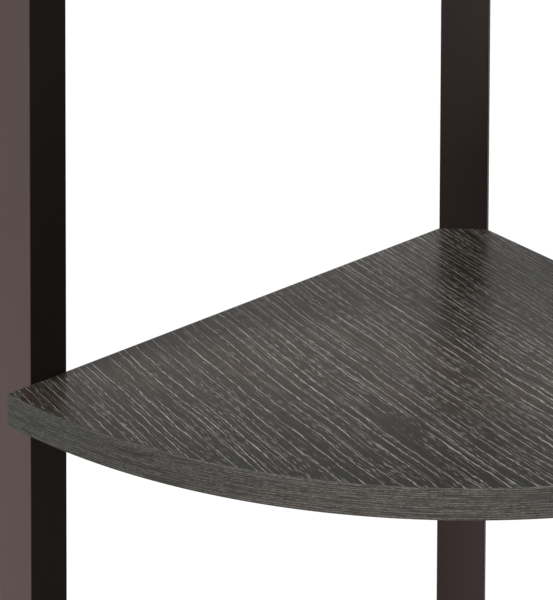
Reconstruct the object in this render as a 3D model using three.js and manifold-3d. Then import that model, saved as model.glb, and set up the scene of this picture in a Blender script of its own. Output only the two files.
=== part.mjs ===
// Corner shelf unit: quarter-round shelves bolted to three square steel posts.
//
// Millimetres, +Z up, standing on Z = 0. The corner of the room that the unit fills is at -X, +Y, so its
// two straight sides face -X and +Y and its round fronts face +X, -Y. The origin is on the floor, under
// the middle of the unit's bounding box.
//
// Each shelf stands inside the three posts and meets them all: the side posts are flush against its two
// straight edges, and the corner post, turned 45 degrees, is flush against its cut-off back corner. At
// each of the fifteen crossings a flat-headed bolt goes through the tube into a barrel nut in the shelf.

import * as THREE from "three";
import { mergeVertices } from "three/addons/utils/BufferGeometryUtils.js";
import Module from "manifold-3d";

const wasm = await Module();
wasm.setup();

// Driving dimensions of the shelves. Reach is the length of a straight edge, from the corner that the
// two edges would meet in to the tip. The round front's centre lies in from both edges, so that the
// front swells a little more than a quarter circle about the corner.
const shelfCount = 5;
const shelfReach = 320;
const shelfThickness = 18;
const frontCentreInset = 14;
const bandThickness = 0.8;
const shelfPitch = 345;
const lowestShelfTop = 95;

// Driving dimensions of the posts, and how far a shelf's tip reaches past a side post's front face.
const postWidth = 25;
const postWall = 1.2;
const postCornerRadius = 1;
const boreCornerRadius = 0.5;
const postAboveTopShelf = 45;
const tipOverhang = 16;

// Bolts, from the wall side of a post into a shelf.
const boltDiameter = 6;
const boltHeadDiameter = 15;
const boltHeadHeight = 2.2;
const boltHeadChamfer = 0.6;
const boltTipChamfer = 0.8;
const boltPastNut = 1.5;
const hexSocketAcrossFlats = 4;
const hexSocketDepth = 3;
const boltHoleClearance = 0.5;
const boltHoleRelief = 2;

// Barrel nuts, pushed up into blind holes in the underside of a shelf.
const nutDiameter = 10;
const nutInset = 28;
const nutCover = 2.7;
const nutSlotWidth = 1.4;
const nutSlotDepth = 1.6;

// Caps on top of the posts and foot sockets in their bottoms, both held in the tube by barbed ribs.
const capThickness = 3;
const capEdgeChamfer = 1;
const capSkin = 2;
const capPlugDepth = 16;
const capPlugWall = 2;
const socketFlange = 2.5;
const socketPlugDepth = 22;
const ribHeight = 1.4;
const ribPitch = 4;
const ribRiseShare = 0.6;

// Levelling feet: a moulded pad round the hexagonal head of a stem that is screwed into the socket.
const footPadDiameter = 24;
const footPadHeight = 8;
const padBaseChamferShare = 0.1;
const padFilletShare = 0.2;
const padShoulderShare = 0.35;
const stemHeadAcrossFlats = 13;
const stemHeadHeight = 5.3;
const stemHeadProud = 3;
const stemHeadChamferShare = 0.15;
const stemDiameter = 8;
const stemLength = 34;
const stemTipChamfer = 1.2;

// Pieces that would touch lie the seat gap apart, and cutting tools run past what they cut.
const seatGap = 0.3;
const cutOverrun = 1;
const weldDistance = 1e-4;

// Facets of the round shapes.
const frontSegments = 42;
const cornerSegments = 2;
const boltSegments = 12;
const boltHoleSegments = 10;
const nutSegments = 12;
const padSegments = 24;
const stemSegments = 18;
const filletSegments = 3;
const squareSides = 4;
const hexSides = 6;

const quarterTurn = Math.PI / 2;
const eighthTurn = Math.PI / 4;

// The round front, and the unit's width and depth with the bolt heads on its wall sides.
const frontRadius = Math.hypot(frontCentreInset, shelfReach - frontCentreInset);
const wallToShelf = boltHeadHeight + seatGap + postWidth + seatGap;
const footprint = wallToShelf + frontCentreInset + frontRadius;

// Where the straight edges of the shelves would meet, from the origin.
const shelfCorner = new THREE.Vector2(wallToShelf - footprint / 2, footprint / 2 - wallToShelf);

// The cut across the back corner is as long as a post is wide, so it passes half a post from the corner.
const cornerCutDistance = postWidth / 2;
const cornerCutPerEdge = cornerCutDistance * Math.SQRT2;

// A post's middle, out from the edge that it stands against, and a side post's along that edge.
const postOffset = seatGap + postWidth / 2;
const sidePostReach = shelfReach - tipOverhang - postWidth / 2;
const cornerPostReach = cornerCutDistance - postOffset;

const stemHeadTop = footPadHeight + stemHeadProud;
const postBottom = stemHeadTop + seatGap + socketFlange + seatGap;
const shelfTops = Array.from({ length: shelfCount }, (_, i) => lowestShelfTop + i * shelfPitch);
const postTop = shelfTops[shelfCount - 1] + postAboveTopShelf;
const postLength = postTop - postBottom;

// In a station's frame: where a shelf begins, where its nut stands and how far the bolt goes.
const shelfStart = postWidth / 2 + seatGap;
const nutPlace = shelfStart + nutInset;
const boltEnd = nutPlace + nutDiameter / 2 + boltPastNut;
const boltHoleRadius = boltDiameter / 2 + boltHoleClearance;
const nutLength = shelfThickness - 2 * (nutCover + seatGap);

// Half widths of what is pushed into a tube: its ribs clear the bore by the seat gap.
const plugReach = postWidth / 2 - postWall - seatGap;
const plugCore = plugReach - ribHeight;
const ribRise = ribPitch * ribRiseShare;

const padBaseChamfer = footPadHeight * padBaseChamferShare;
const padFillet = footPadHeight * padFilletShare;
const padShoulder = footPadHeight * padShoulderShare;
const padNeckRadius = stemHeadAcrossFlats / 2 / Math.cos(Math.PI / hexSides) + seatGap + padBaseChamfer;

// Stations are where the posts stand, from the shelf corner. Seen in a station's own frame the post's
// middle is at 0, 0 and the shelf lies along +X.
const stations = [
  { name: "left", x: -postOffset, y: -sidePostReach, turn: 0 },
  {
    name: "corner",
    x: cornerPostReach * Math.cos(eighthTurn),
    y: -cornerPostReach * Math.sin(eighthTurn),
    turn: -eighthTurn,
  },
  { name: "right", x: sidePostReach, y: postOffset, turn: -quarterTurn },
];

// Materials.
const laminate = new THREE.MeshStandardMaterial({ color: 0x5d5954, roughness: 0.5, metalness: 0 });
const bandFinish = new THREE.MeshStandardMaterial({ color: 0x625e58, roughness: 0.55, metalness: 0 });
const postPaint = new THREE.MeshStandardMaterial({ color: 0x3f3533, roughness: 0.5, metalness: 0.2 });
const blackPlastic = new THREE.MeshStandardMaterial({ color: 0x1d1b1a, roughness: 0.6, metalness: 0 });
const zincSteel = new THREE.MeshStandardMaterial({ color: 0x9a9a98, roughness: 0.35, metalness: 1 });
const blackSteel = new THREE.MeshStandardMaterial({ color: 0x2a2827, roughness: 0.4, metalness: 0.9 });

// A closed three.js geometry as a solid that can be cut and joined, and back again.
function solidOf(geometry) {
  const bare = geometry.index ? geometry.toNonIndexed() : geometry.clone();
  bare.deleteAttribute("normal");
  bare.deleteAttribute("uv");
  const merged = mergeVertices(bare, weldDistance);
  return new wasm.Manifold(
    new wasm.Mesh({
      numProp: 3,
      vertProperties: merged.attributes.position.array,
      triVerts: new Uint32Array(merged.index.array),
    }),
  );
}

function geometryOf(solid) {
  const { vertProperties, triVerts } = solid.getMesh();
  return new THREE.BufferGeometry()
    .setAttribute("position", new THREE.BufferAttribute(vertProperties, 3))
    .setIndex(new THREE.BufferAttribute(triVerts, 1));
}

function cutAll(solid, tools) {
  return tools.reduce((left, tool) => left.subtract(tool), solid);
}

// A profile of [radius, height] pairs turned about Z. It starts and ends on the axis.
function revolve(profile, sides) {
  const points = profile.map(([radius, height]) => new THREE.Vector2(radius, height));
  return new THREE.LatheGeometry(points, sides).rotateX(quarterTurn);
}

// The same with a square plan, where the first of each pair is half a side.
function revolveSquare(profile) {
  const toCorners = profile.map(([half, height]) => [half * Math.SQRT2, height]);
  return revolve(toCorners, squareSides).rotateZ(eighthTurn);
}

// Bars that start at a given X or Z.
function barAlongX(radius, start, length, sides) {
  const bar = new THREE.CylinderGeometry(radius, radius, length, sides);
  return bar.rotateZ(-quarterTurn).translate(start + length / 2, 0, 0);
}

function barAlongZ(radius, start, length, sides) {
  const bar = new THREE.CylinderGeometry(radius, radius, length, sides);
  return bar.rotateX(quarterTurn).translate(0, 0, start + length / 2);
}

// A hexagonal bar along Z, sized across its flats.
function hexBar(acrossFlats, start, length) {
  const cornerRadius = acrossFlats / 2 / Math.cos(Math.PI / hexSides);
  return barAlongZ(cornerRadius, start, length, hexSides);
}

// An outline raised along Z. ExtrudeGeometry divides an arc into twice its curveSegments.
function prism(shape, height, arcSegments) {
  const curveSegments = arcSegments / 2;
  return new THREE.ExtrudeGeometry(shape, { depth: height, bevelEnabled: false, curveSegments });
}

function roundedSquare(width, radius) {
  const flat = width / 2 - radius;
  const shape = new THREE.Shape();
  const centres = [
    [flat, flat],
    [-flat, flat],
    [-flat, -flat],
    [flat, -flat],
  ];
  centres.forEach(([x, y], i) => {
    shape.absarc(x, y, radius, i * quarterTurn, (i + 1) * quarterTurn, false);
  });
  return shape;
}

// The quarter-round outline with its cut back corner, drawn in from the finished edge by an inset. The
// shelf corner is at 0, 0, one straight edge runs along +X and the other along -Y.
function shelfOutline(inset) {
  const radius = frontRadius - inset;
  const tipAngle = Math.asin((frontCentreInset - inset) / radius);
  const cutPerEdge = cornerCutPerEdge + inset * Math.SQRT2;
  const shape = new THREE.Shape();
  shape.absarc(frontCentreInset, -frontCentreInset, radius, -quarterTurn - tipAngle, tipAngle, false);
  shape.lineTo(cutPerEdge - inset, -inset);
  shape.lineTo(inset, inset - cutPerEdge);
  return shape;
}

// Moves a tool made in a station's frame to that station.
function atStation(geometry, station) {
  return geometry.rotateZ(station.turn).translate(station.x, station.y, 0);
}

// A bolt's hole, in the mid-plane of a shelf whose underside is at Z = 0.
function boltHoleTool(station) {
  const start = shelfStart - cutOverrun;
  const tool = barAlongX(boltHoleRadius, start, boltEnd + boltHoleRelief - start, boltHoleSegments);
  return solidOf(atStation(tool.translate(0, 0, shelfThickness / 2), station));
}

// A nut's blind hole, open at the underside.
function nutHoleTool(station) {
  const depth = shelfThickness - nutCover;
  const tool = barAlongZ(nutDiameter / 2 + seatGap, -cutOverrun, depth + cutOverrun, nutSegments);
  return solidOf(atStation(tool.translate(nutPlace, 0, 0), station));
}

// The laminated board inside its band.
function shelfBoard() {
  const slab = solidOf(prism(shelfOutline(bandThickness), shelfThickness, frontSegments));
  return geometryOf(cutAll(slab, [...stations.map(boltHoleTool), ...stations.map(nutHoleTool)]));
}

// The band glued round all of the board's edges, with the bolts' holes through it.
function edgeBand() {
  const outline = shelfOutline(0);
  outline.holes.push(shelfOutline(bandThickness));
  const ring = solidOf(prism(outline, shelfThickness, frontSegments));
  return geometryOf(cutAll(ring, stations.map(boltHoleTool)));
}

// A square tube, standing on Z = 0, with a hole through both its walls at each shelf.
function post() {
  const outline = roundedSquare(postWidth, postCornerRadius);
  outline.holes.push(roundedSquare(postWidth - 2 * postWall, boreCornerRadius));
  const tube = solidOf(prism(outline, postLength, cornerSegments));
  const holes = shelfTops.map((top) => {
    const hole = barAlongX(boltHoleRadius, -postWidth, 2 * postWidth, boltHoleSegments);
    return solidOf(hole.translate(0, 0, top - shelfThickness / 2 - postBottom));
  });
  return geometryOf(cutAll(tube, holes));
}

// The barbed side of a plug, as [half width, distance from its free end]: ribs that slope out from the
// free end and stop short of the plug's depth, where its root in the flange begins.
function barbedSide(depth, root) {
  const ribCount = Math.floor((depth - ribRise) / ribPitch);
  const ribs = Array.from({ length: ribCount }, (_, i) => {
    const start = ribRise / 2 + i * ribPitch;
    return [
      [plugCore, start],
      [plugReach, start + ribRise],
      [plugCore, start + ribRise],
    ];
  });
  return [[plugCore, 0], ...ribs.flat(), [plugCore, depth + root]];
}

// Rounds the four upright corners of a square piece that lies between two heights.
function roundCorners(geometry, width, radius, low, high) {
  const envelope = prism(roundedSquare(width, radius), high - low, cornerSegments);
  return solidOf(geometry).intersect(solidOf(envelope.translate(0, 0, low)));
}

// A cap: a chamfered flange standing on Z = 0, as wide as the post, over a hollow plug.
function postCap() {
  const half = postWidth / 2;
  const hollow = plugCore - capPlugWall;
  const root = capThickness / 2;
  const flange = revolveSquare([
    [0, 0],
    [half, 0],
    [half, capThickness - capEdgeChamfer],
    [half - capEdgeChamfer, capThickness],
    [0, capThickness],
  ]);
  const plug = revolveSquare([
    [0, -capSkin],
    [hollow, -capSkin],
    [hollow, -capPlugDepth],
    ...barbedSide(capPlugDepth, root).map(([side, fromEnd]) => [side, fromEnd - capPlugDepth]),
    [0, root],
  ]);
  const roundPlug = roundCorners(plug, 2 * plugReach, boreCornerRadius, -capPlugDepth, root);
  return geometryOf(roundCorners(flange, postWidth, postCornerRadius, 0, capThickness).add(roundPlug));
}

// A foot socket: a ribbed plug standing on Z = 0 over a flange, bored for the foot's stem.
function footSocket() {
  const half = postWidth / 2;
  const root = socketFlange / 2;
  const flange = revolveSquare([
    [0, -socketFlange],
    [half, -socketFlange],
    [half, 0],
    [0, 0],
  ]);
  const ribs = barbedSide(socketPlugDepth, root).map(([side, fromEnd]) => [side, socketPlugDepth - fromEnd]);
  const plug = revolveSquare([[0, -root], ...ribs.reverse(), [0, socketPlugDepth]]);
  const roundPlug = roundCorners(plug, 2 * plugReach, boreCornerRadius, -root, socketPlugDepth);
  const boreLength = socketFlange + socketPlugDepth + 2 * cutOverrun;
  const boreRadius = stemDiameter / 2 + seatGap;
  const bore = barAlongZ(boreRadius, -socketFlange - cutOverrun, boreLength, stemSegments);
  return geometryOf(
    roundCorners(flange, postWidth, postCornerRadius, -socketFlange, 0)
      .add(roundPlug)
      .subtract(solidOf(bore)),
  );
}

// The pad of a levelling foot, standing on Z = 0: its rounded shoulder rises in a cone to the neck, and
// a hexagonal pocket in its top holds the stem's head.
function footPad() {
  const padRadius = footPadDiameter / 2;
  const shoulder = Array.from({ length: filletSegments + 1 }, (_, i) => {
    const angle = (i / filletSegments) * quarterTurn;
    return [
      padRadius - padFillet * (1 - Math.cos(angle)),
      footPadHeight - padShoulder - padFillet * (1 - Math.sin(angle)),
    ];
  });
  const turned = revolve(
    [
      [0, 0],
      [padRadius - padBaseChamfer, 0],
      [padRadius, padBaseChamfer],
      ...shoulder,
      [padNeckRadius, footPadHeight],
      [0, footPadHeight],
    ],
    padSegments,
  );
  const pocketFloor = stemHeadTop - stemHeadHeight - seatGap;
  const pocketDepth = footPadHeight - pocketFloor;
  const pocket = hexBar(stemHeadAcrossFlats + 2 * seatGap, pocketFloor, pocketDepth + cutOverrun);
  return geometryOf(solidOf(turned).subtract(solidOf(pocket)));
}

// The stem in the same place: a hexagonal head, chamfered on top, and the round stem that rises from it.
function footStem() {
  const radius = stemDiameter / 2;
  const stemTop = stemHeadTop + stemLength;
  const headBottom = stemHeadTop - stemHeadHeight;
  const cornerRadius = stemHeadAcrossFlats / 2 / Math.cos(Math.PI / hexSides);
  const headChamfer = stemHeadHeight * stemHeadChamferShare;
  const turned = revolve(
    [
      [0, headBottom],
      [cornerRadius, headBottom],
      [cornerRadius, stemHeadTop - headChamfer / 2],
      [cornerRadius - headChamfer, stemHeadTop],
      [radius, stemHeadTop],
      [radius, stemTop - stemTipChamfer],
      [radius - stemTipChamfer, stemTop],
      [0, stemTop],
    ],
    stemSegments,
  );
  const hexagon = hexBar(stemHeadAcrossFlats, headBottom - cutOverrun, stemTop - headBottom + 2 * cutOverrun);
  return geometryOf(solidOf(turned).intersect(solidOf(hexagon)));
}

// A bolt in a station's frame, with its axis at Z = 0 and its head against the post's wall side.
function bolt() {
  const length = boltEnd + shelfStart;
  const headRadius = boltHeadDiameter / 2;
  const radius = boltDiameter / 2;
  const turned = revolve(
    [
      [0, -boltHeadHeight],
      [headRadius - boltHeadChamfer, -boltHeadHeight],
      [headRadius, boltHeadChamfer - boltHeadHeight],
      [headRadius, 0],
      [radius, 0],
      [radius, length - boltTipChamfer],
      [radius - boltTipChamfer, length],
      [0, length],
    ],
    boltSegments,
  );
  const socket = hexBar(hexSocketAcrossFlats, -boltHeadHeight - cutOverrun, cutOverrun + hexSocketDepth);
  const upright = geometryOf(solidOf(turned).subtract(solidOf(socket)));
  return upright.rotateY(quarterTurn).translate(-shelfStart, 0, 0);
}

// A barrel nut in a station's frame: cross bore for the bolt, and a slot below to turn it by.
function barrelNut() {
  const body = barAlongZ(nutDiameter / 2, -nutLength / 2, nutLength, nutSegments);
  const bore = barAlongX(boltDiameter / 2 + seatGap, -nutDiameter, 2 * nutDiameter, boltSegments);
  const slot = new THREE.BoxGeometry(2 * nutDiameter, nutSlotWidth, 2 * nutSlotDepth);
  slot.translate(0, 0, -nutLength / 2);
  return geometryOf(cutAll(solidOf(body), [solidOf(bore), solidOf(slot)])).translate(nutPlace, 0, 0);
}

function mesh(name, geometry, material, height) {
  const piece = new THREE.Mesh(geometry, material);
  piece.name = name;
  piece.position.z = height;
  return piece;
}

// All shelves, each a board in its band, numbered from the floor.
function shelves() {
  const group = new THREE.Group();
  const board = shelfBoard();
  const band = edgeBand();
  shelfTops.forEach((top, i) => {
    const underside = top - shelfThickness;
    group.add(mesh(`shelf_board_${i + 1}`, board, laminate, underside));
    group.add(mesh(`edge_band_${i + 1}`, band, bandFinish, underside));
  });
  return group;
}

// One post with its cap, socket and foot, and the bolts and nuts that hold the shelves to it.
function postAssembly(station, shapes) {
  const group = new THREE.Group();
  group.position.set(station.x, station.y, 0);
  group.rotation.z = station.turn;
  group.add(mesh(`post_${station.name}`, shapes.post, postPaint, postBottom));
  group.add(mesh(`post_cap_${station.name}`, shapes.cap, blackPlastic, postTop + seatGap));
  group.add(mesh(`foot_socket_${station.name}`, shapes.socket, blackPlastic, postBottom - seatGap));
  group.add(mesh(`foot_pad_${station.name}`, shapes.footPad, blackPlastic, 0));
  group.add(mesh(`foot_stem_${station.name}`, shapes.footStem, zincSteel, 0));
  shelfTops.forEach((top, i) => {
    const middle = top - shelfThickness / 2;
    group.add(mesh(`bolt_${i + 1}_${station.name}`, shapes.bolt, blackSteel, middle));
    group.add(mesh(`barrel_nut_${i + 1}_${station.name}`, shapes.nut, zincSteel, middle));
  });
  return group;
}

const shapes = {
  post: post(),
  cap: postCap(),
  socket: footSocket(),
  footPad: footPad(),
  footStem: footStem(),
  bolt: bolt(),
  nut: barrelNut(),
};

const unit = new THREE.Group();
unit.position.set(shelfCorner.x, shelfCorner.y, 0);
unit.add(shelves());
stations.forEach((station) => unit.add(postAssembly(station, shapes)));

export default unit;
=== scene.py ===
"""Looks of the corner shelf unit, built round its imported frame.

Quarter-round shelves in a dark limed wood-grain laminate hang between three square posts with a
satin brown powder coat. Lengths are metres, +Z is up, and the origin is on the floor under the
unit's middle.
"""

import logging
import math
from dataclasses import dataclass
from enum import Enum
from functools import reduce
from typing import ClassVar, Iterable, NamedTuple, Sequence

import bmesh
import bpy
from bmesh.types import BMEdge, BMesh, BMVert
from bpy.types import ID, Material, Mesh, Node, NodeOutputs as Outputs, NodeSocket as Socket
from bpy.types import NodeTree, Object, World
from mathutils import Matrix, Vector


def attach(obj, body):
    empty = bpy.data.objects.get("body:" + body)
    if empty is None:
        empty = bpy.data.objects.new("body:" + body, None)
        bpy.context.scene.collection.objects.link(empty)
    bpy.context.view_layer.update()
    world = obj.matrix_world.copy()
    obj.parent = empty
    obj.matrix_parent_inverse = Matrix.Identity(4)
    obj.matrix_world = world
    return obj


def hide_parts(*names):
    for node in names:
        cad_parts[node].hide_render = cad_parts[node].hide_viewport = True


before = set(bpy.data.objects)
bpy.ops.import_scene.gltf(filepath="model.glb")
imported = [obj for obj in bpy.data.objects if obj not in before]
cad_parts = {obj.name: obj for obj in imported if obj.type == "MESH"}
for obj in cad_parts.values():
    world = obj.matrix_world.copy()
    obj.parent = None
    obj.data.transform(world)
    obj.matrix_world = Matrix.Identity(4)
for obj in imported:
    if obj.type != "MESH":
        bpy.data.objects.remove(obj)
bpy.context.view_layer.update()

log = logging.getLogger("corner_shelf_unit")

MM = 0.001
WELD = 0.002 * MM
LAP = 1 * MM
SHARP_ANGLE = math.radians(34)
FULL_TURN = 2 * math.pi
QUARTER_TURN = math.pi / 2
EIGHTH_TURN = math.pi / 4
SQUARE_SIDES = 4
HEX_SIDES = 6
HOLE_SIDES = 24
WIDE_HOLE_SIDES = 32
CORNER_STRIPS = 5
LEVEL_ENOUGH = 0.5

Colour = tuple[float, float, float]
Value = Socket | float | Colour
Profile = Sequence[tuple[float, float]]


class Station(Enum):
    """Where the posts stand, as a viewer in front of the unit sees them."""

    LEFT = "left"
    CORNER = "corner"
    RIGHT = "right"


class Combine(Enum):
    """How two closed shapes are combined."""

    CUT = "DIFFERENCE"
    JOIN = "UNION"
    SHARED = "INTERSECT"


@dataclass(frozen=True)
class UnitSizes:
    """The sizes that more than one sub-assembly takes."""

    shelf_count: int = 5
    reach: float = 320 * MM
    board: float = 18 * MM
    front_inset: float = 14 * MM
    pitch: float = 345 * MM
    lowest_top: float = 95 * MM
    post: float = 25 * MM
    post_radius: float = 0.5 * MM
    post_wall: float = 1.2 * MM
    above_top_shelf: float = 45 * MM
    overhang: float = 16 * MM
    bolt_hole: float = 3.5 * MM
    nut_inset: float = 28 * MM
    head_height: float = 2.2 * MM
    seat: float = 0.3 * MM
    foot_top: float = 11 * MM
    socket_flange: float = 2.5 * MM

    @property
    def front_radius(self) -> float:
        """Radius of the round front."""
        return math.hypot(self.front_inset, self.reach - self.front_inset)

    @property
    def tip_angle(self) -> float:
        """Angle of the round front past its quarter at each tip."""
        return math.asin(self.front_inset / self.front_radius)

    @property
    def front_length(self) -> float:
        """Length of the round front from tip to tip."""
        return self.front_radius * (QUARTER_TURN + 2 * self.tip_angle)

    @property
    def corner(self) -> Vector:
        """Where the two straight edges of a shelf would meet, on the floor.

        Returns:
            The place.
        """
        wall = self.head_height + self.post + 2 * self.seat
        half = (wall + self.front_inset + self.front_radius) / 2
        return Vector((wall - half, half - wall, 0))

    @property
    def shelf_tops(self) -> list[float]:
        """Heights of the shelves' tops."""
        return [self.lowest_top + self.pitch * i for i in range(self.shelf_count)]

    @property
    def post_bottom(self) -> float:
        """Height at which the tubes begin."""
        return self.foot_top + self.socket_flange + 2 * self.seat

    @property
    def post_top(self) -> float:
        """Height at which the tubes end."""
        return self.shelf_tops[-1] + self.above_top_shelf

    @property
    def nut_place(self) -> float:
        """How far a barrel nut stands from the post's middle."""
        return self.post / 2 + self.seat + self.nut_inset

    def place(self, station: Station) -> Matrix:
        """The frame of a station, in which the post is at 0, 0 and the shelves lie along +X.

        Args:
            station: Which post.

        Returns:
            The transform from that frame to the unit's.
        """
        out = self.seat + self.post / 2
        along = self.reach - self.overhang - self.post / 2
        aside = (out - self.post / 2) * math.cos(EIGHTH_TURN)
        x, y, turn = {
            Station.LEFT: (-out, -along, 0.0),
            Station.CORNER: (-aside, aside, -EIGHTH_TURN),
            Station.RIGHT: (along, out, -QUARTER_TURN),
        }[station]
        return Matrix.Translation(self.corner + Vector((x, y, 0))) @ Matrix.Rotation(turn, 4, "Z")


SIZES = UnitSizes()


# Shapes


def up(height: float) -> Matrix:
    """A move straight up."""
    return Matrix.Translation((0, 0, height))


def quarter_turn(steps: int) -> list[float]:
    """The angles of a quarter turn in equal steps."""
    return [i * QUARTER_TURN / steps for i in range(steps + 1)]


def hex_corner(half_width: float) -> float:
    """Distance to the corners of a hexagon, from half its width over the flats."""
    return half_width / math.cos(math.pi / HEX_SIDES)


def drawn(bm: BMesh, profile: Profile) -> list[BMVert | BMEdge]:
    """Draws a profile in the XZ plane and gives its points and edges."""
    points = [bm.verts.new((radius, 0, height)) for radius, height in profile]
    return points + [bm.edges.new(pair) for pair in zip(points, points[1:])]


def welded(bm: BMesh) -> BMesh:
    """Merges a shape's doubled points and turns its faces outwards.

    Args:
        bm: The shape.

    Returns:
        The same shape.
    """
    bmesh.ops.remove_doubles(bm, verts=bm.verts, dist=WELD)
    bmesh.ops.recalc_face_normals(bm, faces=bm.faces)
    return bm


def spun(profile: Profile, steps: int) -> BMesh:
    """Turns a profile about Z into a closed shape.

    Args:
        profile: Pairs of radius and height, starting and ending on the axis.
        steps: Number of sides.

    Returns:
        The closed shape.
    """
    bm = bmesh.new()
    bmesh.ops.spin(bm, geom=drawn(bm, profile), cent=(0, 0, 0), axis=(0, 0, 1), angle=FULL_TURN,
                   steps=steps, use_merge=True)
    return welded(bm)


def raised(bm: BMesh, height: float) -> BMesh:
    """Raises the one face of a flat shape into a solid.

    Args:
        bm: The flat shape, in a level plane.
        height: How far up it is raised.

    Returns:
        The same shape, now closed.
    """
    made = bmesh.ops.extrude_face_region(bm, geom=list(bm.faces))
    upper = [g for g in made["geom"] if isinstance(g, BMVert)]
    bmesh.ops.translate(bm, verts=upper, vec=(0, 0, height))
    bmesh.ops.recalc_face_normals(bm, faces=bm.faces)
    return bm


def square_bar(width: float, radius: float, low: float, high: float) -> BMesh:
    """A square bar along Z with rounded upright corners.

    Args:
        width: Width over the flats.
        radius: Radius of the corners.
        low: Height of its bottom.
        high: Height of its top.

    Returns:
        The closed bar.
    """
    bm = bmesh.new()
    bmesh.ops.create_grid(bm, x_segments=1, y_segments=1, size=width / 2, matrix=up(low))
    bmesh.ops.bevel(bm, geom=list(bm.verts), offset=radius, segments=CORNER_STRIPS, profile=0.5,
                    affect="VERTICES", material=-1)
    return raised(bm, high - low)


def round_bar(radius: float, low: float, high: float, sides: int = HOLE_SIDES,
              along_x: bool = False) -> BMesh:
    """A round or many-sided bar along Z or X.

    Args:
        radius: Radius to its corners.
        low: Where it begins on its axis.
        high: Where it ends on its axis.
        sides: Number of sides.
        along_x: Whether its axis is X.

    Returns:
        The closed bar.
    """
    turn = Matrix.Rotation(QUARTER_TURN, 4, "Y") if along_x else Matrix.Identity(4)
    bm = bmesh.new()
    bmesh.ops.create_cone(bm, cap_ends=True, cap_tris=False, segments=sides, radius1=radius,
                          radius2=radius, depth=high - low, matrix=turn @ up((high + low) / 2))
    return bm


def moved(bm: BMesh, matrix: Matrix) -> BMesh:
    """The same shape, moved by a transform."""
    bmesh.ops.transform(bm, matrix=matrix, verts=bm.verts)
    return bm


def rounded_rim(bm: BMesh, heights: Iterable[float], offset: float, segments: int) -> BMesh:
    """Rounds the level rims of a solid.

    Args:
        bm: The solid.
        heights: Heights of the rims.
        offset: How far the rounding reaches from the rim.
        segments: Number of strips in the rounding.

    Returns:
        The same solid.
    """
    edges = [e for height in heights for e in bm.edges
             if all(abs(v.co.z - height) < WELD for v in e.verts)]
    bmesh.ops.bevel(bm, geom=edges, offset=offset, segments=segments, profile=0.5,
                    affect="EDGES", material=-1)
    return bm


def meshed(bm: BMesh, name: str) -> Mesh:
    """Turns a shape into a mesh and frees it.

    Args:
        bm: The shape.
        name: Name of the mesh.

    Returns:
        The mesh.
    """
    mesh = bpy.data.meshes.new(name)
    bm.to_mesh(mesh)
    bm.free()
    return mesh


def linked(name: str, data: ID, place: Matrix = Matrix.Identity(4)) -> Object:
    """Puts a mesh, a light or a camera into the scene.

    Args:
        name: Name of its object.
        data: The mesh, light or camera.
        place: Where it stands.

    Returns:
        The object.
    """
    obj = bpy.data.objects.new(name, data)
    obj.matrix_world = place
    bpy.context.scene.collection.objects.link(obj)
    return obj


def combined(base: BMesh, tools: Iterable[BMesh], how: Combine) -> BMesh:
    """Combines a closed shape with others, one after the other.

    Args:
        base: The shape that is kept.
        tools: The shapes that cut it, join it or bound it.
        how: Which of these they do.

    Returns:
        The combined shape.
    """
    target, *helpers = [linked("shape", meshed(bm, "shape")) for bm in (base, *tools)]
    for helper in helpers:
        modifier = target.modifiers.new("combine", "BOOLEAN")
        modifier.operation = how.value
        modifier.solver = "EXACT"
        modifier.object = helper
    bpy.context.view_layer.update()
    evaluated = target.evaluated_get(bpy.context.evaluated_depsgraph_get())
    made = bmesh.new()
    made.from_mesh(evaluated.to_mesh())
    evaluated.to_mesh_clear()
    for obj in (target, *helpers):
        bpy.data.meshes.remove(obj.data)
    return welded(made)


@dataclass(frozen=True)
class Thread:
    """A screw thread, with the chamfer at the end of its bar."""

    radius: float
    pitch: float
    depth: float
    tip: float
    steps: int

    def bar(self, low: float, high: float) -> BMesh:
        """A threaded bar along Z, chamfered at its top.

        One tooth is turned and lifted round the axis, the turns are welded and both ends are
        trimmed flat.

        Args:
            low: Height of its bottom.
            high: Height of its top.

        Returns:
            The closed bar.
        """
        flat, middle, root = self.pitch / 8, self.pitch / 2, self.radius - self.depth
        start = low - 2 * self.pitch
        tooth = [(root, start), (root, start + flat), (self.radius, start + (middle - flat / 2)),
                 (self.radius, start + (middle + flat / 2)), (root, start + self.pitch)]
        turns = math.ceil((high - start) / self.pitch) + 2
        bm = bmesh.new()
        bmesh.ops.spin(bm, geom=drawn(bm, tooth), cent=(0, 0, 0), axis=(0, 0, 1),
                       angle=FULL_TURN * turns, steps=self.steps * turns,
                       dvec=(0, 0, self.pitch / self.steps))
        bmesh.ops.remove_doubles(bm, verts=bm.verts, dist=WELD)
        for height, above in ((low, False), (high, True)):
            bmesh.ops.bisect_plane(bm, geom=[*bm.verts, *bm.edges, *bm.faces],
                                   plane_co=(0, 0, height), plane_no=(0, 0, 1),
                                   clear_outer=above, clear_inner=not above)
        bmesh.ops.holes_fill(bm, edges=[e for e in bm.edges if e.is_boundary])
        bmesh.ops.recalc_face_normals(bm, faces=bm.faces)
        reach = 2 * self.radius
        envelope = spun([(0, low - reach), (reach, low - reach),
                         (reach, high - self.tip - reach + self.radius),
                         (self.radius - self.tip, high), (0, high)], self.steps)
        return combined(bm, [envelope], Combine.SHARED)


def settled(bm: BMesh, name: str) -> Mesh:
    """Turns a finished shape into a mesh with its edges marked smooth or sharp.

    Args:
        bm: The shape.
        name: Name of the mesh.

    Returns:
        The mesh.
    """
    bmesh.ops.dissolve_degenerate(bm, dist=WELD, edges=bm.edges)
    for face in bm.faces:
        face.smooth = True
    for edge in bm.edges:
        edge.smooth = edge.calc_face_angle(0.0) < SHARP_ANGLE
    return meshed(bm, name)


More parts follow.
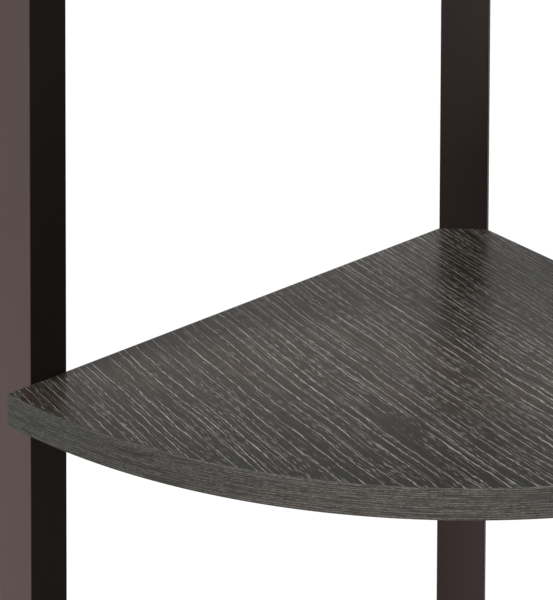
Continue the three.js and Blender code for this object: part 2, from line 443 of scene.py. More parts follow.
def shown(mesh: Mesh, name: str, place: Matrix, slot: str, node: str, *finishes: "Finishes",
          body: str = "frame") -> None:
    """Shows a copy of a mesh as a named piece in place of a CAD node.

    Args:
        mesh: The mesh as it was built.
        name: Name of the piece.
        place: Where the piece goes, which is put into its mesh.
        slot: Not used.
        node: The CAD node that it stands for.
        finishes: Its finishes, in the order of the mesh's material indices.
        body: The body that it rides on.
    """
    data = mesh.copy()
    data.name = name
    data.transform(place)
    for finish in finishes:
        data.materials.append(finish.value.material())
    piece = linked(name, data)
    piece.modifiers.new("flat_faces", "WEIGHTED_NORMAL").keep_sharp = True
    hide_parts(node)
    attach(piece, body)
    log.info("%s on %s: %d faces", name, body, len(data.polygons))


# Shader nodes


class Cells(NamedTuple):
    """A noise: its cells in a metre along each axis, its finer layers and their strength."""

    x: float
    y: float
    z: float
    detail: float = 0.0
    rough: float = 0.5


class Ramp(NamedTuple):
    """A smooth change: the range that it runs over and what the two ends of the range become."""

    start: Value
    end: Value
    first: Value = 0.0
    last: Value = 1.0

    def onto(self, first: Value, last: Value) -> "Ramp":
        """The same range with other values at its ends."""
        return Ramp(self.start, self.end, first, last)


MIDDLE = Ramp(0.3, 0.7)


@dataclass
class Graph:
    """A node tree that is written one call at a time."""

    tree: NodeTree

    @classmethod
    def of(cls, owner: Material | World) -> "Graph":
        """The emptied node tree of a material or world.

        Args:
            owner: The material or world.

        Returns:
            Its graph.
        """
        owner.use_nodes = True
        owner.node_tree.nodes.clear()
        return cls(owner.node_tree)

    def put(self, kind: str, sockets: dict[str, Value] | None = None, **settings: object) -> Node:
        """Adds a node.

        Args:
            kind: Its type.
            sockets: What its inputs take, by name: an output to link or a constant.
            settings: Its other properties.

        Returns:
            The node.
        """
        node = self.tree.nodes.new(kind)
        for name, value in settings.items():
            setattr(node, name, value)
        for name, value in (sockets or {}).items():
            self.feed(node.inputs[name], value)
        return node

    def feed(self, socket: Socket, value: Value) -> None:
        """Links a socket to an output, or sets it to a constant.

        Args:
            socket: The input.
            value: An output, a number or a colour.
        """
        if isinstance(value, Socket):
            self.tree.links.new(value, socket)
        elif socket.type == "RGBA":
            socket.default_value = (*value, 1)
        else:
            socket.default_value = value

    def fed(self, kind: str, values: Iterable[Value], **settings: object) -> Outputs:
        """Adds a node whose inputs are given in their order.

        Args:
            kind: Its type.
            values: What its inputs take.
            settings: Its other properties.

        Returns:
            Its outputs.
        """
        node = self.put(kind, **settings)
        for socket, value in zip(node.inputs, values):
            self.feed(socket, value)
        return node.outputs

    def calc(self, operation: str, *values: Value) -> Socket:
        """A Math node's result."""
        return self.fed("ShaderNodeMath", values, operation=operation)[0]

    def times(self, *values: Value) -> Socket:
        """The product of some values."""
        return reduce(lambda product, value: self.calc("MULTIPLY", product, value), values)

    def vector(self, operation: str, *values: Value) -> Outputs:
        """A Vector Math node's results."""
        return self.fed("ShaderNodeVectorMath", values, operation=operation)

    def stretched(self, vector: Socket, scales: Colour) -> Socket:
        """A vector scaled by a number for each axis."""
        return self.vector("MULTIPLY", vector, scales)["Vector"]

    def shaded(self, colour: Value, share: Socket) -> Socket:
        """A colour multiplied by a value."""
        sockets = {"Vector": colour, "Scale": share}
        return self.put("ShaderNodeVectorMath", sockets, operation="SCALE").outputs[0]

    def joined(self, x: Value, y: Value, z: Value) -> Socket:
        """A vector from its three parts."""
        return self.put("ShaderNodeCombineXYZ", {"X": x, "Y": y, "Z": z}).outputs[0]

    def parts(self, vector: Socket) -> Outputs:
        """The X, Y and Z of a vector."""
        return self.put("ShaderNodeSeparateXYZ", {"Vector": vector}).outputs

    def tint(self, colour: Socket, part: str) -> Socket:
        """The Red, Green or Blue of a colour."""
        return self.put("ShaderNodeSeparateColor", {"Color": colour}).outputs[part]

    def place(self, kind: str = "Object") -> Socket:
        """The place on the unit in metres, or on its UV map."""
        return self.put("ShaderNodeTexCoord").outputs[kind]

    def noise(self, vector: Socket, cells: Cells) -> Socket:
        """Smooth noise from 0 to 1 at a place in metres."""
        sockets = {"Vector": self.stretched(vector, cells[:3]), "Scale": 1.0,
                   "Detail": cells.detail, "Roughness": cells.rough}
        return self.put("ShaderNodeTexNoise", sockets).outputs["Fac"]

    def patches(self, dimensions: str, randomness: float, **place: Value) -> Outputs:
        """The nearest of many scattered points to a place, which is given as Vector or W."""
        sockets = {**place, "Scale": 1.0, "Randomness": randomness}
        return self.put("ShaderNodeTexVoronoi", sockets, voronoi_dimensions=dimensions).outputs

    def ramp(self, value: Socket, ramp: Ramp) -> Socket:
        """A value carried over a ramp and held at its ends."""
        sockets = dict(zip(("Value", "From Min", "From Max", "To Min", "To Max"), (value, *ramp)))
        return self.put("ShaderNodeMapRange", sockets, interpolation_type="SMOOTHSTEP").outputs[0]

    def blend(self, share: Value, first: Value, second: Value) -> Socket:
        """Mixes two colours.

        Args:
            share: How much of the second.
            first: The colour at 0.
            second: The colour at 1.

        Returns:
            The mixed colour.
        """
        node = self.put("ShaderNodeMix", data_type="RGBA")
        ends = {"Factor_Float": share, "A_Color": first, "B_Color": second}
        for socket in node.inputs:
            if socket.identifier in ends:
                self.feed(socket, ends[socket.identifier])
        return next(s for s in node.outputs if s.identifier == "Result_Color")

    def bump(self, height: Socket, strength: float, distance: float) -> Socket:
        """A normal from a height, of which 1 stands for a distance in metres."""
        sockets = {"Height": height, "Strength": strength, "Distance": distance}
        return self.put("ShaderNodeBump", sockets).outputs[0]


@dataclass(frozen=True)
class SharedGroup:
    """A node group that more than one finish uses, with the defaults of its inputs by name."""

    inputs: ClassVar[dict[str, float]] = {}

    def wire(self, g: Graph, given: Outputs) -> dict[str, Socket]:
        """Wires the group from its graph and its inputs, and gives its results by name."""
        raise NotImplementedError

    def outputs(self, g: Graph, sockets: dict[str, Value]) -> Outputs:
        """Places the group in a material's graph, feeds it by name and gives its outputs."""
        return g.put("ShaderNodeGroup", sockets, node_tree=self.tree()).outputs

    def tree(self) -> NodeTree:
        """The group, made on first use.

        Returns:
            The group. It takes a place as Vector, and its outputs are all values.
        """
        name = type(self).__name__
        known = bpy.data.node_groups.get(name)
        if known:
            return known
        tree = bpy.data.node_groups.new(name, "ShaderNodeTree")
        tree.interface.new_socket("Vector", in_out="INPUT", socket_type="NodeSocketVector")
        for label, default in self.inputs.items():
            tree.interface.new_socket(
                label, in_out="INPUT", socket_type="NodeSocketFloat").default_value = default
        g = Graph(tree)
        results = self.wire(g, g.put("NodeGroupInput").outputs)
        for label in results:
            tree.interface.new_socket(label, in_out="OUTPUT", socket_type="NodeSocketFloat")
        g.put("NodeGroupOutput", results)
        return tree


@dataclass(frozen=True)
class Pores:
    """Pores at uneven distances, each of which fades in and out along its length in its own way.

    Closeness is their number for each long pore, and widening how much wider they are.
    """

    closeness: float
    widening: float
    fading: Cells
    fade: Ramp
    strength: float = 1.0
    randomness: float = 0.55
    swelling: Cells = Cells(3.1, 5.7, 1)
    swell: Ramp = MIDDLE.onto(0.82, 1.18)
    core: float = 0.45
    faintest: float = 0.5

    def mask(self, g: Graph, along: Socket, count: Socket, half_width: Socket) -> Socket:
        """Where the pores are.

        Args:
            g: The group's graph.
            along: The distance along the grain.
            count: The number of long pores up to the place.
            half_width: Half of a long pore's width, as a share of their distance.

        Returns:
            Their mask.
        """
        cells = g.patches("1D", self.randomness, W=g.times(count, self.closeness))
        own = g.joined(along, cells["W"], 0.0)
        fade = g.ramp(g.noise(own, self.fading), self.fade)
        swelling = self.swelling._replace(x=self.swelling.x * self.fading.x)
        swell = g.ramp(g.noise(own, swelling), self.swell)
        half = g.times(half_width, self.closeness * self.widening, swell)
        core = g.ramp(cells["Distance"], Ramp(g.times(half, self.core), half, 1.0, 0.0))
        weight = g.calc("MULTIPLY_ADD", g.tint(cells["Color"], "Green"), 1 - self.faintest,
                        self.faintest)
        return g.times(core, fade, weight)


@dataclass(frozen=True)
class Dashes:
    """Short streaks that stand in clusters."""

    along: float = 120.0
    across: float = 620.0
    seed_step: float = 3.7
    randomness: float = 0.9
    shape: Colour = (2.6, 5.2, 0)
    end: Ramp = Ramp(0.4, 1.0, 1.0, 0.0)
    kept: Ramp = Ramp(0.15, 0.85)
    clustering: Cells = Cells(17, 120, 40, 1)
    cluster: Ramp = Ramp(0.36, 0.56)
    strength: float = 0.5

    def mask(self, g: Graph, along: Socket, across: Socket, seed: Socket,
             grain: Socket) -> Socket:
        """Where the dashes are.

        Args:
            g: The group's graph.
            along: The distance along the grain.
            across: The distance across it.
            seed: What tells one board from the next.
            grain: The place in the grain.

        Returns:
            Their mask.
        """
        cells = g.joined(g.calc("MULTIPLY_ADD", along, self.along, g.times(seed, self.seed_step)),
                         g.calc("MULTIPLY_ADD", across, self.across, seed), 0.0)
        dash = g.patches("2D", self.randomness, Vector=cells)
        from_middle = g.vector("SUBTRACT", cells, dash["Position"])["Vector"]
        to_end = g.vector("LENGTH", g.stretched(from_middle, self.shape))["Value"]
        streaks = g.times(g.ramp(to_end, self.end), g.ramp(g.tint(dash["Color"], "Red"), self.kept))
        clusters = g.ramp(g.noise(grain, self.clustering), self.cluster)
        return g.times(streaks, clusters, self.strength)


@dataclass(frozen=True)
class LimedGrain(SharedGroup):
    """Pale limed pores on a wood print, long ones with fine ones and dashes between them.

    Vector is the place along and across the grain, with a layer that tells one board from the
    next. Count is the number of long pores up to there. Limed is the mask of the pores, Tone the
    slow change between the ground's two colours, and Fibre the ground's fine streaks.
    """

    inputs: ClassVar[dict[str, float]] = {
        "Count": 0.0, "Pitch": 5 * MM, "Half Width": 0.45 * MM, "Wander": 4 * MM}

    seeds_in_a_metre: float = 97.0
    slow: Cells = Cells(16, 50, 40)
    quick: Cells = Cells(75, 250, 40, 1)
    quick_share: float = 0.4
    jagged: Cells = Cells(280, 420, 40)
    jagged_share: float = 0.13
    mottling: Cells = Cells(290, 1300, 40, 1)
    mottle: Ramp = Ramp(0.36, 0.56, 0.25, 1.08)
    long_pores: Pores = Pores(1.0, 1.0, Cells(15.0, 7.3, 1, 1), Ramp(0.32, 0.47))
    fine_pores: Pores = Pores(2.3, 0.75, Cells(28.0, 7.3, 1, 1), Ramp(0.46, 0.60), strength=0.5)
    dashes: Dashes = Dashes()
    toning: Cells = Cells(30, 90, 20, 2)
    tone: Ramp = Ramp(0.48, 0.66)
    fibre: Cells = Cells(70, 1150, 40, 3)

    def wire(self, g: Graph, given: Outputs) -> dict[str, Socket]:
        """Wires the grain.

        Args:
            g: The group's graph.
            given: The group's inputs.

        Returns:
            Its results by name.
        """
        vector = given["Vector"]
        along, aside, layer = g.parts(vector)
        seed = g.times(layer, self.seeds_in_a_metre)
        slow, quick, jagged = (g.calc("SUBTRACT", g.noise(vector, cells), 0.5)
                               for cells in (self.slow, self.quick, self.jagged))
        wander = g.calc("MULTIPLY_ADD", quick, self.quick_share, slow)
        wander = g.calc("MULTIPLY_ADD", jagged, self.jagged_share, wander)
        wander = g.times(wander, given["Wander"])
        across = g.calc("ADD", aside, wander)
        grain = g.joined(along, across, layer)
        wandered = g.calc("DIVIDE", wander, given["Pitch"])
        count = g.calc("ADD", g.calc("ADD", given["Count"], wandered), seed)
        half_width = g.calc("DIVIDE", given["Half Width"], given["Pitch"])
        mottle = g.ramp(g.noise(grain, self.mottling), self.mottle)
        long_pores, fine_pores = (
            g.times(pores.mask(g, along, count, half_width), mottle, pores.strength)
            for pores in (self.long_pores, self.fine_pores))
        dashes = self.dashes.mask(g, along, across, seed, grain)
        return {
            "Limed": g.calc("MAXIMUM", g.calc("MAXIMUM", long_pores, fine_pores), dashes),
            "Tone": g.ramp(g.noise(grain, self.toning), self.tone),
            "Fibre": g.noise(grain, self.fibre)}


@dataclass(frozen=True)
class FineGrain(SharedGroup):
    """The fine relief of a sprayed or moulded surface, in grains of one Cell, and a slow change."""

    inputs: ClassVar[dict[str, float]] = {"Cell": 0.6 * MM}

    clouds: Cells = Cells(11, 11, 5, 3, 0.6)
    detail: float = 2.0
    rough: float = 0.6

    def wire(self, g: Graph, given: Outputs) -> dict[str, Socket]:
        """Wires the relief.

        Args:
            g: The group's graph.
            given: The group's inputs.

        Returns:
            Its results by name.
        """
        vector, scale = given["Vector"], g.calc("DIVIDE", 1.0, given["Cell"])
        fine = g.put("ShaderNodeTexNoise", {
            "Vector": vector, "Scale": scale, "Detail": self.detail, "Roughness": self.rough})
        return {"Relief": fine.outputs["Fac"], "Cloud": g.noise(vector, self.clouds)}


# Finishes


@dataclass(frozen=True)
class Finish:
    """A surface finish, which becomes one material."""

    name: str
    roughness: float
    specular: float

    def shade(self, g: Graph) -> dict[str, Value]:
        """Wires the finish in its material's graph, and gives what the shader takes by name."""
        raise NotImplementedError

    def material(self) -> Material:
        """The finish as a material, made on first use.

        Returns:
            The material.
        """
        known = bpy.data.materials.get(self.name)
        if known:
            return known
        made = bpy.data.materials.new(self.name)
        g = Graph.of(made)
        shader = g.put("ShaderNodeBsdfPrincipled", {
            "Roughness": self.roughness, "Specular IOR Level": self.specular, **self.shade(g)})
        g.put("ShaderNodeOutputMaterial", {"Surface": shader.outputs[0]})
        return made


@dataclass(frozen=True)
class OnPrint:
    """A place on a print, as the grain group takes it, and how the print changes there."""

    grain: dict[str, Value]
    # painted light and shade: a factor on the ground's colour that makes it paler or darker by
    # place
    shade: Value
    turned: Value
    roughness: Value
    # the pores' colour, which on the band carries painted light
    lime: Value


@dataclass(frozen=True)
class LimedPrint(Finish):
    """A dark wood print with pale limed pores, embossed along them."""

    ground: Colour
    second_ground: Colour
    tone_share: float
    lime: Colour
    pitch: float
    half_width: float
    wander: float
    turning: Ramp
    streaks: Ramp = MIDDLE.onto(0.66, 1.36)
    lime_roughness: float = 0.16
    fibre_relief: float = 0.25
    lime_relief: float = -0.75
    relief_strength: float = 0.5
    relief: float = 0.08 * MM

    def spot(self, g: Graph) -> OnPrint:
        """Where a place is on the print, in its material's graph."""
        raise NotImplementedError

    def shade(self, g: Graph) -> dict[str, Value]:
        """Wires the print.

        Args:
            g: The material's graph.

        Returns:
            What the shader takes, by name.
        """
        spot = self.spot(g)
        grain = LimedGrain().outputs(g, {
            "Half Width": self.half_width, "Wander": self.wander, **spot.grain})
        limed, fibre = grain["Limed"], grain["Fibre"]
        turned = g.calc("MAXIMUM", g.times(grain["Tone"], self.tone_share), spot.turned)
        ground = g.blend(turned, self.ground, self.second_ground)
        # the ground's streaks, times the painted light and shade of the spot
        streaked = g.shaded(ground, g.times(g.ramp(fibre, self.streaks), spot.shade))
        dull = g.calc("ADD", spot.roughness, self.lime_roughness)
        relief = g.calc("MULTIPLY_ADD", fibre, self.fibre_relief, g.times(limed, self.lime_relief))
        return {"Base Color": g.blend(limed, streaked, spot.lime),
                "Roughness": g.ramp(limed, Ramp(0.0, 1.0, spot.roughness, dull)),
                "Normal": g.bump(relief, self.relief_strength, self.relief)}


@dataclass(frozen=True)
class LimedLaminate(LimedPrint):
    """The print on a board, where the grain fans out.

    Its slope grows with the depth from the back edge and falls with the length along it. The
    pores stand wider apart with the depth, and closer again towards the left tip. The ground
    grows rougher to the front and greener to the corner. Painted shade darkens it to the front,
    and painted light makes it paler to the back.
    """

    ground: Colour = (0.0358, 0.0267, 0.0200)
    second_ground: Colour = (0.0275, 0.0310, 0.0248)
    tone_share: float = 0.6
    lime: Colour = (0.325, 0.308, 0.288)
    pitch: float = 2.4 * MM
    half_width: float = 0.41 * MM
    wander: float = 4.5 * MM
    turning: Ramp = Ramp(0.06, 0.28, 0.35, 0.0)
    widening: float = 0.020
    closing_from: float = 0.22
    closing: float = 700.0
    tip_half_width: float = 0.22 * MM
    slope: float = 0.14
    slope_by_depth: float = 0.6
    slope_by_length: float = 0.4
    # painted light: the ground is made paler near the back edge, to lift the shadow that the shelf
    # above casts there
    back_painted_light: Ramp = Ramp(0.01, 0.12, 1.5, 1.0)
    # painted shade: the ground darkens towards the front edge
    front_painted_shading: Ramp = Ramp(0.23, 0.47, 1.0, 0.34)
    roughening: Ramp = Ramp(0.05, 0.45)
    front_roughness: float = 0.40

    def spot(self, g: Graph) -> OnPrint:
        """Where a place is on the print.

        Args:
            g: The material's graph.

        Returns:
            The place.
        """
        x, y, z = g.parts(g.place())
        length = g.calc("SUBTRACT", x, SIZES.corner.x)
        depth = g.calc("SUBTRACT", SIZES.corner.y, y)
        drift = self.slope_by_length / self.slope_by_depth
        shift = (drift - self.slope) / self.slope_by_depth
        behind = g.calc("SUBTRACT", g.calc("MULTIPLY_ADD", length, drift, shift), depth)
        fan = g.calc("EXPONENT", g.times(length, -self.slope_by_depth))
        across = g.calc("SUBTRACT", shift, g.times(behind, fan))
        pitch = g.calc("MULTIPLY_ADD", across, self.widening, self.pitch)
        growth = g.calc("LOGARITHM", g.calc("DIVIDE", pitch, self.pitch), math.e)
        beyond = g.calc("MAXIMUM", g.calc("SUBTRACT", across, self.closing_from), 0.0)
        count = g.calc("MULTIPLY_ADD", g.times(beyond, beyond), self.closing,
                       g.calc("DIVIDE", growth, self.widening))
        closeness = g.calc("MULTIPLY_ADD", beyond, 2 * self.closing, g.calc("DIVIDE", 1.0, pitch))
        half_width = g.ramp(across, Ramp(self.closing_from, SIZES.reach, self.half_width,
                                         self.tip_half_width))
        out = g.calc("ADD", length, depth)
        return OnPrint(
            grain={"Vector": g.joined(length, across, z), "Count": count,
                   "Pitch": g.calc("DIVIDE", 1.0, closeness), "Half Width": half_width},
            shade=g.times(g.ramp(depth, self.back_painted_light), g.ramp(out, self.front_painted_shading)),
            turned=g.ramp(out, self.turning),
            roughness=g.ramp(out, self.roughening.onto(self.roughness, self.front_roughness)),
            lime=self.lime)


@dataclass(frozen=True)
class LimedBand(LimedPrint):
    """The print at a finer scale on an edge band, with the grain round the edge.

    Painted light makes the ground and lime paler round the front from the left tip, where the key
    light falls ever less, and painted shade darkens the ground again past the front's far end.
    The ground is greener at the left tip.
    """

    ground: Colour = (0.050, 0.044, 0.039)
    second_ground: Colour = (0.046, 0.048, 0.041)
    tone_share: float = 0.5
    lime: Colour = (0.160, 0.150, 0.138)
    pitch: float = 1.25 * MM
    half_width: float = 0.20 * MM
    wander: float = 0.8 * MM
    turning: Ramp = Ramp(0.0, 0.3, 0.95, 0.0)
    shortening: float = 2.0
    # painted light and shade: the band's ground grows paler round the front from the left tip
    front_painted_shading: Ramp = Ramp(0.10, 0.80, 0.515, 2.0)
    # painted shade: the ground darkens again past the front's far end, on the back edges
    end_painted_shade: Ramp = Ramp(0.98, 1.06, 1.0, 0.25)
    # painted light on the pores: their colour grows paler round the front from the left tip
    front_painted_lime_light: Ramp = Ramp(0.05, 0.80, 0.70, 2.5)

    def spot(self, g: Graph) -> OnPrint:
        """Where a place is on the band's print.

        Args:
            g: The material's graph.

        Returns:
            The place.
        """
        along, height, _ = g.parts(g.place("UV"))
        layer = g.calc("SUBTRACT", g.parts(g.place())["Z"], height)
        round_front = g.calc("DIVIDE", along, SIZES.front_length)
        vector = g.joined(g.times(along, self.shortening), height, layer)
        return OnPrint(
            grain={"Vector": vector, "Count": g.calc("DIVIDE", height, self.pitch),
                   "Pitch": self.pitch},
            shade=g.times(g.ramp(round_front, self.front_painted_shading),
                          g.ramp(round_front, self.end_painted_shade)),
            turned=g.ramp(round_front, self.turning),
            roughness=self.roughness,
            lime=g.shaded(self.lime, g.ramp(round_front, self.front_painted_lime_light)))


@dataclass(frozen=True)
class ParticleBoard(Finish):
    """Pressed chips of pale wood, as in the wall of a drilled hole."""

    light: Colour = (0.42, 0.29, 0.16)
    dark: Colour = (0.20, 0.12, 0.06)
    chips: Colour = (420, 420, 1100)
    relief_strength: float = 0.6
    relief: float = 0.2 * MM

    def shade(self, g: Graph) -> dict[str, Value]:
        """Wires the chips.

        Args:
            g: The material's graph.

        Returns:
            What the shader takes, by name.
        """
        chips = g.patches("3D", 1.0, Vector=g.stretched(g.place(), self.chips))
        return {"Base Color": g.blend(g.tint(chips["Color"], "Red"), self.light, self.dark),
                "Normal": g.bump(chips["Distance"], self.relief_strength, self.relief)}


@dataclass(frozen=True)
class SprayedOrMoulded(Finish):
    """A plain colour with a fine relief and a slow change of gloss: powder coat or moulding."""

    colour: Colour
    shade_change: float
    cell: float
    relief: float
    relief_strength: float = 0.35
    gloss_change: float = 0.08
    relief_share: float = 0.35

    def shade(self, g: Graph) -> dict[str, Value]:
        """Wires the surface.

        Args:
            g: The material's graph.

        Returns:
            What the shader takes, by name.
        """
        fine = FineGrain().outputs(g, {"Vector": g.place(), "Cell": self.cell})
        relief, cloud = fine["Relief"], fine["Cloud"]
        darker, lighter = (tuple(c * share for c in self.colour)
                           for share in (1 - self.shade_change, 1 + self.shade_change))
        speckle = g.calc("MULTIPLY_ADD", relief, self.relief_share,
                         g.times(cloud, 1 - self.relief_share))
        gloss = MIDDLE.onto(self.roughness - self.gloss_change, self.roughness + self.gloss_change)
        return {"Base Color": g.blend(g.ramp(speckle, MIDDLE), darker, lighter),
                "Roughness": g.ramp(cloud, gloss),
                "Normal": g.bump(relief, self.relief_strength, self.relief)}


@dataclass(frozen=True)
class PlatedSteel(Finish):
    """Plated or blackened steel with fine rolling streaks and a mottled sheen."""

    colour: Colour
    second_colour: Colour
    metallic: float = 1.0
    mottling: Cells = Cells(260, 260, 260, 3, 0.6)
    mottle: Ramp = Ramp(0.35, 0.65)
    streaks: Cells = Cells(900, 900, 3500, 1)
    shinier: float = 0.08
    duller: float = 0.1
    relief_strength: float = 0.25
    relief: float = 0.03 * MM

    def shade(self, g: Graph) -> dict[str, Value]:
        """Wires the plate.

        Args:
            g: The material's graph.

        Returns:
            What the shader takes, by name.
        """
        place = g.place()
        mottle = g.ramp(g.noise(place, self.mottling), self.mottle)
        streaks = g.noise(place, self.streaks)
        gloss = MIDDLE.onto(self.roughness - self.shinier, self.roughness + self.duller)
        return {"Metallic": self.metallic,
                "Base Color": g.blend(mottle, self.colour, self.second_colour),
                "Roughness": g.ramp(streaks, gloss),
                "Normal": g.bump(streaks, self.relief_strength, self.relief)}


class Finishes(Enum):
    """The finishes of the unit."""

    LAMINATE = LimedLaminate("limed_laminate", 0.23, 0.108)
    BAND = LimedBand("limed_edge_band", 0.50, 0.32)
    CORE = ParticleBoard("particle_board_core", 0.85, 0.3)
    POWDER_COAT = SprayedOrMoulded("brown_powder_coat", 0.48, 0.10, (0.073, 0.0535, 0.0515),
                                   shade_change=0.06, cell=0.55 * MM, relief=0.03 * MM)
    PLASTIC = SprayedOrMoulded("black_moulding", 0.55, 0.3, (0.014, 0.013, 0.012),
                               shade_change=0.12, cell=0.4 * MM, relief=0.05 * MM)
    ZINC = PlatedSteel("zinc_plate", 0.32, 0.5, (0.58, 0.58, 0.56), (0.47, 0.48, 0.49))
    BLACK_OXIDE = PlatedSteel("black_oxide", 0.40, 0.4, (0.032, 0.028, 0.026),
                              (0.022, 0.020, 0.020), metallic=0.85)


# Sub-assemblies


@dataclass
class Shelves:
    """Laminated boards with a cut back corner, each with a band glued round its edges."""

    band: float = 0.8 * MM
    rim: float = 0.35 * MM
    front_steps: int = 160
    bolt_hole_depth: float = 49.3 * MM
    nut_hole: float = 5.3 * MM
    nut_cover: float = 2.7 * MM

    def outline(self, inset: float, low: float, high: float) -> BMesh:
        """The quarter-round outline, drawn in by an inset and raised.

        Args:
            inset: How far it is drawn in from the finished edge.
            low: Height of its bottom.
            high: Height of its top.

        Returns:
            The closed slab.
        """
        radius = SIZES.front_radius - inset
        tip = math.asin((SIZES.front_inset - inset) / radius)
        centre = SIZES.corner + Vector((SIZES.front_inset, -SIZES.front_inset, low))
        cut = SIZES.post / 2 * math.sqrt(2) + inset * math.sqrt(2) - inset
        first = Matrix.Rotation(-QUARTER_TURN - tip, 3, "Z") @ Vector((radius, 0, 0))
        bm = bmesh.new()
        start = bm.verts.new(centre + first)
        spin = bmesh.ops.spin(bm, geom=[start], cent=centre, axis=(0, 0, 1),
                              angle=QUARTER_TURN + 2 * tip, steps=self.front_steps)
        last = next(g for g in spin["geom_last"] if isinstance(g, BMVert))
        behind = [bm.verts.new(SIZES.corner + Vector(p))
                  for p in ((cut, -inset, low), (inset, -cut, low))]
        for pair in zip((last, *behind), (*behind, start)):
            bm.edges.new(pair)
        bmesh.ops.contextual_create(bm, geom=list(bm.edges))
        return raised(bm, high - low)

    def bolt_holes(self) -> list[BMesh]:
        """The bolts' holes at the stations, from the edges into the board."""
        start = SIZES.post / 2 - SIZES.seat
        return [moved(round_bar(SIZES.bolt_hole, start, self.bolt_hole_depth, along_x=True),
                      SIZES.place(station) @ up(SIZES.board / 2)) for station in Station]

    def nut_holes(self) -> list[BMesh]:
        """The barrel nuts' blind holes at the stations, open at the underside."""
        top, out = SIZES.board - self.nut_cover, Matrix.Translation((SIZES.nut_place, 0, 0))
        return [moved(round_bar(self.nut_hole, -self.nut_cover, top, WIDE_HOLE_SIDES),
                      SIZES.place(station) @ out) for station in Station]

    def board_mesh(self) -> Mesh:
        """The board, standing on Z = 0: its flat sides are laminate and what is cut is core.

        Returns:
            The mesh.
        """
        thick = SIZES.board
        slab = self.outline(self.band, 0.0, thick)
        bm = combined(slab, [*self.bolt_holes(), *self.nut_holes()], Combine.CUT)
        for face in bm.faces:
            height = face.calc_center_median().z
            skin = abs(face.normal.z) > LEVEL_ENOUGH and min(height, thick - height) < WELD
            face.material_index = 0 if skin else 1
        return settled(bm, "board")

    def along_edge(self, point: Vector) -> float:
        """How far round the shelf a point lies from the left tip, less than zero behind it.

        The way round breaks at the cut corner, where the corner post covers it.

        Args:
            point: A point on or near the edge.

        Returns:
            The distance in metres.
        """
        from_corner = point - SIZES.corner
        from_centre = from_corner - Vector((SIZES.front_inset, -SIZES.front_inset, 0))
        if from_centre.xy.length > SIZES.front_radius - 2 * self.band:
            turn = math.atan2(from_centre.y, from_centre.x)
            return SIZES.front_radius * (turn + QUARTER_TURN + SIZES.tip_angle)
        if from_corner.x > -from_corner.y:
            return SIZES.front_length + SIZES.reach - from_corner.x
        return -SIZES.reach - from_corner.y

    def band_mesh(self) -> Mesh:
        """The band, standing on Z = 0, with eased rims and a UV map that follows the edge.

        Returns:
            The mesh.
        """
        thick = SIZES.board
        outer = rounded_rim(self.outline(0.0, 0.0, thick), (0.0, thick), self.rim, segments=3)
        inner = self.outline(self.band, -thick, 2 * thick)
        bm = combined(outer, [inner, *self.bolt_holes()], Combine.CUT)
        uv = bm.loops.layers.uv.new("edge")
        for face in bm.faces:
            for loop in face.loops:
                loop[uv].uv = (self.along_edge(loop.vert.co), loop.vert.co.z)
        return settled(bm, "band")

    def dress(self) -> None:
        """Builds one board and one band and shows them with their finishes at every height."""
        board, band = self.board_mesh(), self.band_mesh()
        for n, top in enumerate(SIZES.shelf_tops, start=1):
            place = up(top - SIZES.board)
            shown(board, f"shelf_{n}_board", place, "shelf_laminate", f"shelf_board_{n}",
                  Finishes.LAMINATE, Finishes.CORE)
            shown(band, f"shelf_{n}_edge", place, "edge_band", f"edge_band_{n}", Finishes.BAND)


